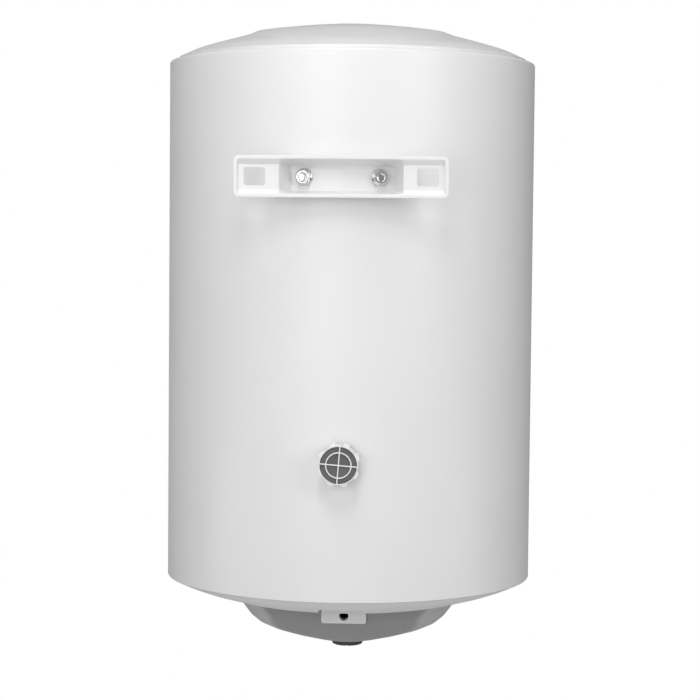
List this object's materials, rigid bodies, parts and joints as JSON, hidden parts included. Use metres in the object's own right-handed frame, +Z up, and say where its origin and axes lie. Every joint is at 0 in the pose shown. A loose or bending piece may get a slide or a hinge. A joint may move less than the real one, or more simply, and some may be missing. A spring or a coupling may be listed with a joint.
{
  "type": "tank water heater",
  "caption": "Wall-hung electric storage water heater: white drum, domed cap, grey control cover and knob beneath, hanging bracket and screw-out spacer on the wall side.",
  "frame": {"origin": "middle of the hanging bracket upper rim, on the wall plane", "axes": "+Y into the wall, +Z up along the tank, +X to the right as seen from the front"},
  "size_m": [0.45, 0.475, 0.7718],
  "materials": {
    "jacket_paint": "satin white powder coat",
    "cap_plastic": "satin white",
    "pan_plastic": "satin white",
    "cover_plastic": "satin mid grey",
    "entry_plastic": "satin light grey",
    "inner_white_plastic": "matt off-white",
    "knob_plastic": "satin dark grey",
    "black_plastic": "matt black",
    "red_plastic": "gloss red",
    "blue_plastic": "gloss blue",
    "amber_lens": "clear amber",
    "bracket_paint": "satin white paint",
    "bolt_zinc": "bright zinc plate",
    "zinc": "zinc plate",
    "steel": "plain steel",
    "spacer_plastic": "satin white",
    "pad_rubber": "matt dark grey",
    "tank_enamel": "glossy blue-black enamel",
    "foam": "cream rigid foam",
    "seal_rubber": "matt black",
    "copper": "bright copper",
    "brass": "plain brass",
    "magnesium": "dull grey",
    "wire_brown": "brown insulation",
    "wire_blue": "blue insulation",
    "wire_green": "green and yellow insulation"
  },
  "bodies": {
    "heater": {"jacket": "jacket_paint", "top_cap": "cap_plastic", "bottom_pan": "pan_plastic", "control_cover": "cover_plastic", "cable_entry": "entry_plastic", "cable_clamp": "inner_white_plastic", "clamp_screw_left": "zinc", "clamp_screw_right": "zinc", "thermostat_body": "black_plastic", "thermostat_bulb": "copper", "thermal_cutout": "black_plastic", "terminal_block": "inner_white_plastic", "component_strip": "zinc", "strip_screw_left": "zinc", "strip_screw_right": "zinc", "indicator_lens": "amber_lens", "indicator_lamp": "amber_lens", "hanging_bracket": "bracket_paint", "hanging_bolt_left": "bolt_zinc", "hanging_bolt_right": "bolt_zinc", "bolt_boss_left": "steel", "bolt_boss_right": "steel", "spacer_socket": "spacer_plastic", "inner_tank": "tank_enamel", "tank_insulation": "foam", "tank_flange_ring": "steel", "flange_gasket": "seal_rubber", "flange_plate": "steel", "heating_element": "copper", "element_terminal_left": "zinc", "element_terminal_right": "zinc", "anode_rod": "magnesium", "anode_nut": "zinc", "thermowell": "copper", "earth_screw": "brass", "cold_inlet": "steel", "hot_outlet": "steel", "cold_collar": "blue_plastic", "hot_collar": "red_plastic", "inlet_diffuser": "inner_white_plastic", "hot_riser": "steel", "cover_screw_left": "zinc", "cover_screw_right": "zinc", "wire_live": "wire_brown", "wire_neutral": "wire_blue", "wire_switched": "wire_brown", "wire_link": "wire_brown", "wire_earth": "wire_green", "wire_lamp": "wire_blue", "flange_bolt_1": "zinc", "flange_bolt_2": "zinc", "flange_bolt_3": "zinc", "flange_bolt_4": "zinc", "flange_bolt_5": "zinc"},
    "knob": {"thermostat_knob": "knob_plastic", "thermostat_spindle": "zinc"},
    "button": {"reset_button": "red_plastic"},
    "spacer_carrier": {"spacer_pad": "pad_rubber"},
    "spacer_sleeve": {"wall_spacer": "spacer_plastic"}
  },
  "joints": [
    {"name": "knob_turn", "type": "hinge", "parent": "heater", "child": "knob", "pos_m": [0, -0.25, -0.5953], "axis": [0, 0, 1], "range_deg": [0, 270]},
    {"name": "reset_press", "type": "slide", "parent": "heater", "child": "button", "axis": [0, 0, 1], "range_m": [0, 0.002], "stiffness_N_per_m": 400, "springref_m": -0.001},
    {"name": "spacer_travel", "type": "slide", "parent": "heater", "child": "spacer_carrier", "axis": [0, 1, 0], "range_m": [-0.004, 0.008]},
    {"name": "spacer_turn", "type": "hinge", "parent": "spacer_carrier", "child": "spacer_sleeve", "pos_m": [0, 0, -0.346], "axis": [0, 1, 0], "range_deg": [-360, 720]}
  ],
  "couplings": [
    {"joint": "spacer_travel", "follows": "spacer_turn", "m_per_rad": 0.0006366}
  ]
}
